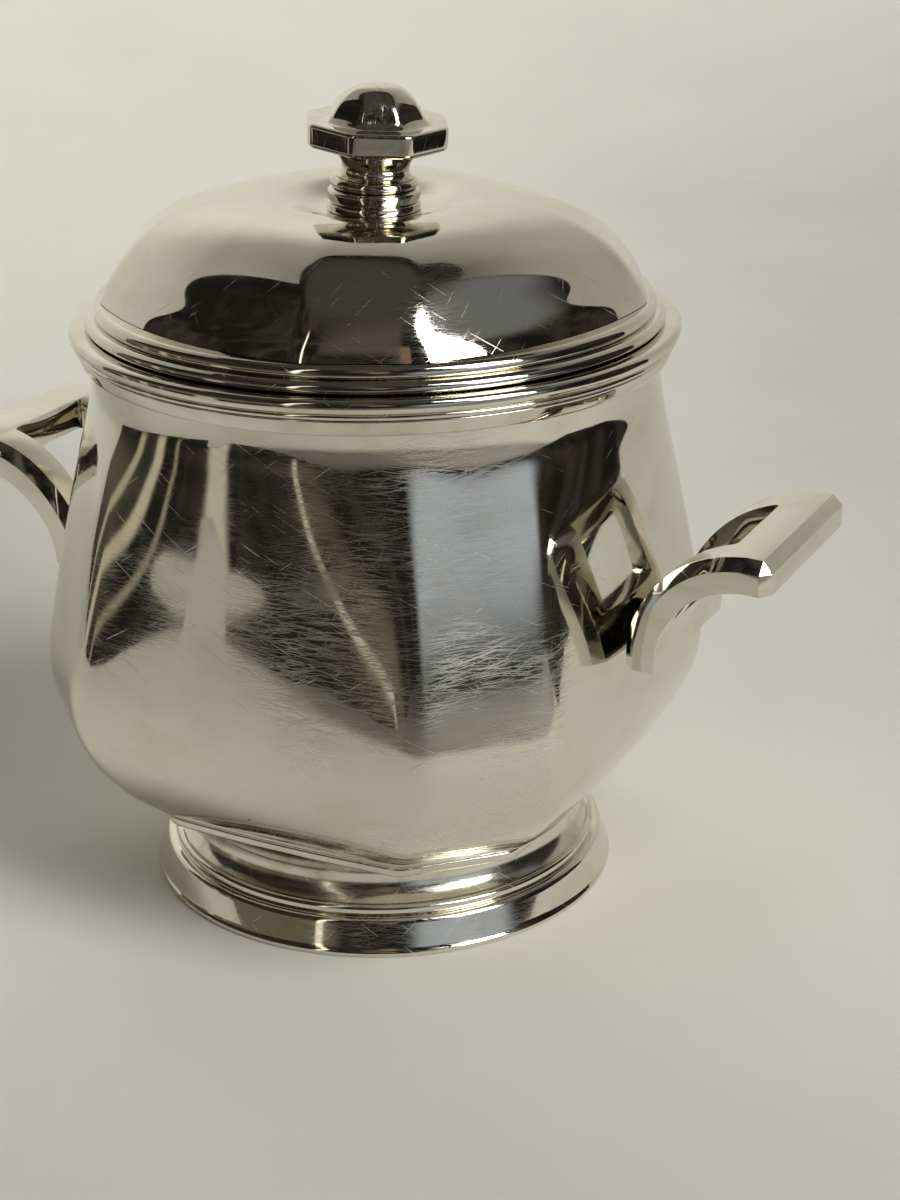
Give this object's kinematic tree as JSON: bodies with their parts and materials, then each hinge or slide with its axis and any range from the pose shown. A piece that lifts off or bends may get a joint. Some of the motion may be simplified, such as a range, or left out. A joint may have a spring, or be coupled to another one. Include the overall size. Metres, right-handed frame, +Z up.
{
  "type": "sugar_bowl",
  "caption": "Covered sugar bowl in polished silver, Art Deco style: round stepped foot, bowl with soft facets, stepped rim, two windowed strap handles, and a lift-off lid with an octagonal finial.",
  "frame": {"origin": "Middle of the face that the foot stands on.", "axes": "+Z is up and +X runs through the right-hand handle. +Y completes the right-handed frame; the bowl's wide facets face X and Y."},
  "size_m": [0.151, 0.1012, 0.1353],
  "materials": {
    "silver": "polished silver, with light scratches",
    "tarnished_silver": "polished silver with yellow tarnish in the hollow",
    "steel": "plain machined steel"
  },
  "bodies": {
    "bowl_body": {"foot_ring": "silver", "foot_step": "silver", "foot_cove": "tarnished_silver", "foot_collar": "silver", "bowl": "silver", "rim_lower_band": "silver", "rim_bead": "silver", "rim_upper_band": "silver", "handle_right": "silver", "handle_left": "silver"},
    "lid_body": {"lid_lower_moulding": "silver", "lid_upper_moulding": "silver", "lid_dome": "silver", "lid_bezel": "silver", "knob_flange": "silver", "knob_band": "silver", "knob_bead": "silver", "knob_stem": "silver", "knob_slab": "silver", "knob_cap": "silver", "knob_rod": "steel", "knob_washer": "steel", "knob_nut": "steel"}
  },
  "joints": [
    {"name": "lid_lift", "type": "slide", "parent": "bowl_body", "child": "lid_body", "axis": [0, 0, 1], "range_m": [0, 0.06]}
  ]
}
